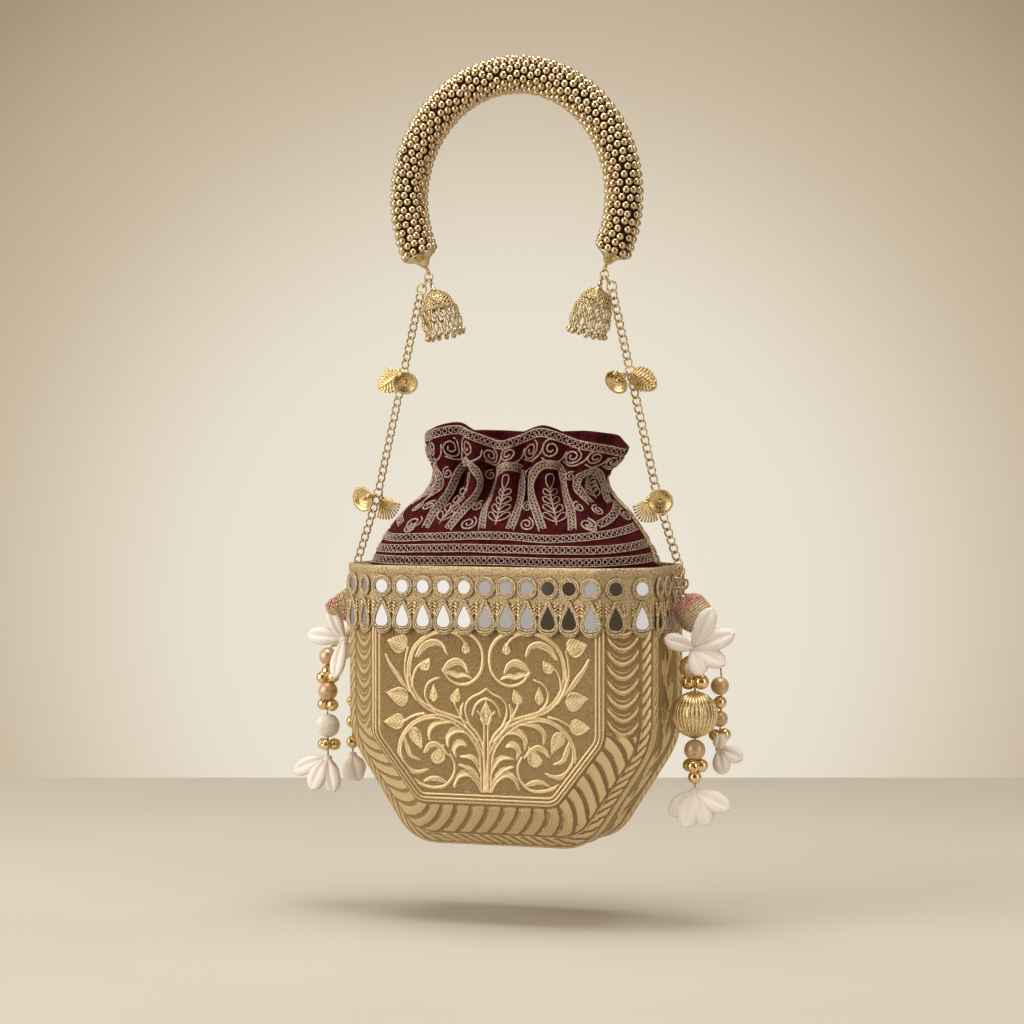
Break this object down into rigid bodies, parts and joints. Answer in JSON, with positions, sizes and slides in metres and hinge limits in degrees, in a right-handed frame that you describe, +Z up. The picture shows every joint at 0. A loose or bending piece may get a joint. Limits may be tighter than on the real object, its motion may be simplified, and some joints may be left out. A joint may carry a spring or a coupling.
{
  "type": "potli bag",
  "caption": "Rigid embossed metal clutch box with a gathered cloth pouch as its mouth, hung by two charm chains from a beaded C-shaped handle, with side tassels.",
  "frame": {"origin": "middle of the handle's inner top, the point that lies on the hand or the hook", "axes": "+Z up, +X across the bag to the wearer's view right, -Y to the front of the bag"},
  "size_m": [0.2356, 0.0908, 0.4081],
  "materials": {
    "core_cord": "matt dark brown padded cord under the bead net",
    "handle_beads": "bright champagne gold plated round beads",
    "gold_metal": "polished gold plated metal with darkened recesses",
    "box_sheet": "antique champagne gold embossed sheet, satin, darker in the ground",
    "zari_trim": "woven dull gold metallic thread tape",
    "mirror_glass": "small flat cut mirrors",
    "velvet": "deep maroon velvet",
    "zari_thread": "raised metallic thread embroidery, beige gold",
    "gold_cord": "shiny twisted metallic piping cord",
    "glitter_cloth": "glitter and ribbed metallic cloth, part rose",
    "flower_cloth": "ivory cloth petals",
    "pearl": "champagne pearl and shiny gold beads",
    "white_flock": "rough white flocked bead"
  },
  "bodies": {
    "handle": {"handle_core": "core_cord", "handle_bead_net": "handle_beads", "left_handle_cap": "gold_metal", "left_handle_eye": "gold_metal", "right_handle_cap": "gold_metal", "right_handle_eye": "gold_metal"},
    "left_hanger": {"left_upper_ring": "gold_metal", "left_hanger_link": "gold_metal", "left_chain_ring": "gold_metal", "left_chain_upper": "gold_metal", "left_charm_ring_upper": "gold_metal"},
    "left_middle": {"left_chain_middle": "gold_metal", "left_charm_ring_lower": "gold_metal"},
    "left_lower": {"left_chain_lower": "gold_metal"},
    "left_jhumka": {"left_jhumka_dome": "gold_metal", "left_jhumka_fringe": "gold_metal"},
    "left_bell_upper": {"left_bell_upper": "gold_metal"},
    "left_leaf_upper": {"left_leaf_upper": "gold_metal"},
    "left_leaf_lower": {"left_leaf_lower": "gold_metal"},
    "left_bell_lower": {"left_bell_lower": "gold_metal"},
    "right_hanger": {"right_upper_ring": "gold_metal", "right_hanger_link": "gold_metal", "right_chain_ring": "gold_metal", "right_chain_upper": "gold_metal", "right_charm_ring_upper": "gold_metal"},
    "right_middle": {"right_chain_middle": "gold_metal", "right_charm_ring_lower": "gold_metal"},
    "right_lower": {"right_chain_lower": "gold_metal"},
    "right_jhumka": {"right_jhumka_dome": "gold_metal", "right_jhumka_fringe": "gold_metal"},
    "right_bell_upper": {"right_bell_upper": "gold_metal"},
    "right_leaf_upper": {"right_leaf_upper": "gold_metal"},
    "right_leaf_lower": {"right_leaf_lower": "gold_metal"},
    "right_bell_lower": {"right_bell_lower": "gold_metal"},
    "box": {"box_front": "box_sheet", "box_back": "box_sheet", "box_gusset": "box_sheet", "mirror_trim": "zari_trim", "pouch": "velvet", "left_side_loop": "gold_metal", "left_piping": "gold_cord", "right_side_loop": "gold_metal", "right_piping": "gold_cord"},
    "left_tassel": {"left_tassel_bead": "glitter_cloth", "left_tassel_top_flower": "flower_cloth"},
    "left_strands": {"left_main_strand": "pearl", "left_tassel_ball": "white_flock", "left_second_strand": "pearl", "left_bottom_flower": "flower_cloth", "left_second_flower": "flower_cloth"},
    "right_tassel": {"right_tassel_bead": "glitter_cloth", "right_tassel_top_flower": "flower_cloth"},
    "right_strands": {"right_main_strand": "pearl", "right_tassel_ball": "gold_metal", "right_second_strand": "pearl", "right_bottom_flower": "flower_cloth", "right_second_flower": "flower_cloth"}
  },
  "joints": [
    {"name": "left_hanger_swing", "type": "hinge", "parent": "handle", "child": "left_hanger", "pos_m": [-0.04867, 0, -0.09193], "axis": [1, 0, 0], "range_deg": [-45, 45]},
    {"name": "left_chain_upper_bend", "type": "hinge", "parent": "left_hanger", "child": "left_middle", "pos_m": [-0.0633, 0, -0.146], "axis": [1, 0, 0], "range_deg": [-30, 30]},
    {"name": "left_chain_lower_bend", "type": "hinge", "parent": "left_middle", "child": "left_lower", "pos_m": [-0.078, 0, -0.21], "axis": [1, 0, 0], "range_deg": [-30, 30]},
    {"name": "box_swing", "type": "hinge", "parent": "left_lower", "child": "box", "pos_m": [-0.091, 0, -0.2505], "axis": [1, 0, 0], "range_deg": [-40, 40]},
    {"name": "right_hanger_swing", "type": "hinge", "parent": "handle", "child": "right_hanger", "pos_m": [0.04867, 0, -0.09193], "axis": [1, 0, 0], "range_deg": [-45, 45]},
    {"name": "right_chain_upper_bend", "type": "hinge", "parent": "right_hanger", "child": "right_middle", "pos_m": [0.0633, 0, -0.146], "axis": [1, 0, 0], "range_deg": [-30, 30]},
    {"name": "right_chain_lower_bend", "type": "hinge", "parent": "right_middle", "child": "right_lower", "pos_m": [0.078, 0, -0.21], "axis": [1, 0, 0], "range_deg": [-30, 30]},
    {"name": "left_jhumka_swing", "type": "hinge", "parent": "left_hanger", "child": "left_jhumka", "pos_m": [-0.04738, 0, -0.09613], "axis": [1, 0, 0], "range_deg": [-35, 35]},
    {"name": "left_bell_upper_swing", "type": "hinge", "parent": "left_hanger", "child": "left_bell_upper", "pos_m": [-0.06087, 0, -0.14514], "axis": [1, 0, 0], "range_deg": [-35, 35]},
    {"name": "left_leaf_upper_swing", "type": "hinge", "parent": "left_hanger", "child": "left_leaf_upper", "pos_m": [-0.06465, 0, -0.14514], "axis": [1, 0, 0], "range_deg": [-35, 35]},
    {"name": "left_leaf_lower_swing", "type": "hinge", "parent": "left_middle", "child": "left_leaf_lower", "pos_m": [-0.07557, 0, -0.20914], "axis": [1, 0, 0], "range_deg": [-35, 35]},
    {"name": "left_bell_lower_swing", "type": "hinge", "parent": "left_middle", "child": "left_bell_lower", "pos_m": [-0.07935, 0, -0.20914], "axis": [1, 0, 0], "range_deg": [-35, 35]},
    {"name": "right_jhumka_swing", "type": "hinge", "parent": "right_hanger", "child": "right_jhumka", "pos_m": [0.04738, 0, -0.09613], "axis": [1, 0, 0], "range_deg": [-35, 35]},
    {"name": "right_bell_upper_swing", "type": "hinge", "parent": "right_hanger", "child": "right_bell_upper", "pos_m": [0.06087, 0, -0.14514], "axis": [1, 0, 0], "range_deg": [-35, 35]},
    {"name": "right_leaf_upper_swing", "type": "hinge", "parent": "right_hanger", "child": "right_leaf_upper", "pos_m": [0.06465, 0, -0.14514], "axis": [1, 0, 0], "range_deg": [-35, 35]},
    {"name": "right_leaf_lower_swing", "type": "hinge", "parent": "right_middle", "child": "right_leaf_lower", "pos_m": [0.07557, 0, -0.20914], "axis": [1, 0, 0], "range_deg": [-35, 35]},
    {"name": "right_bell_lower_swing", "type": "hinge", "parent": "right_middle", "child": "right_bell_lower", "pos_m": [0.07935, 0, -0.20914], "axis": [1, 0, 0], "range_deg": [-35, 35]},
    {"name": "left_tassel_swing", "type": "hinge", "parent": "box", "child": "left_tassel", "pos_m": [-0.0915, 0, -0.2555], "axis": [1, 0, 0], "range_deg": [-40, 40]},
    {"name": "left_strands_sway", "type": "hinge", "parent": "left_tassel", "child": "left_strands", "pos_m": [-0.10346, 0, -0.29], "axis": [0, 1, 0], "range_deg": [-3, 30]},
    {"name": "right_tassel_swing", "type": "hinge", "parent": "box", "child": "right_tassel", "pos_m": [0.0915, 0, -0.2555], "axis": [1, 0, 0], "range_deg": [-40, 40]},
    {"name": "right_strands_sway", "type": "hinge", "parent": "right_tassel", "child": "right_strands", "pos_m": [0.09987, 0, -0.29], "axis": [0, -1, 0], "range_deg": [-3, 30]}
  ],
  "couplings": [
    {"joint": "right_hanger_swing", "follows": "left_hanger_swing", "ratio": 1},
    {"joint": "right_chain_upper_bend", "follows": "left_chain_upper_bend", "ratio": 1},
    {"joint": "right_chain_lower_bend", "follows": "left_chain_lower_bend", "ratio": 1}
  ]
}
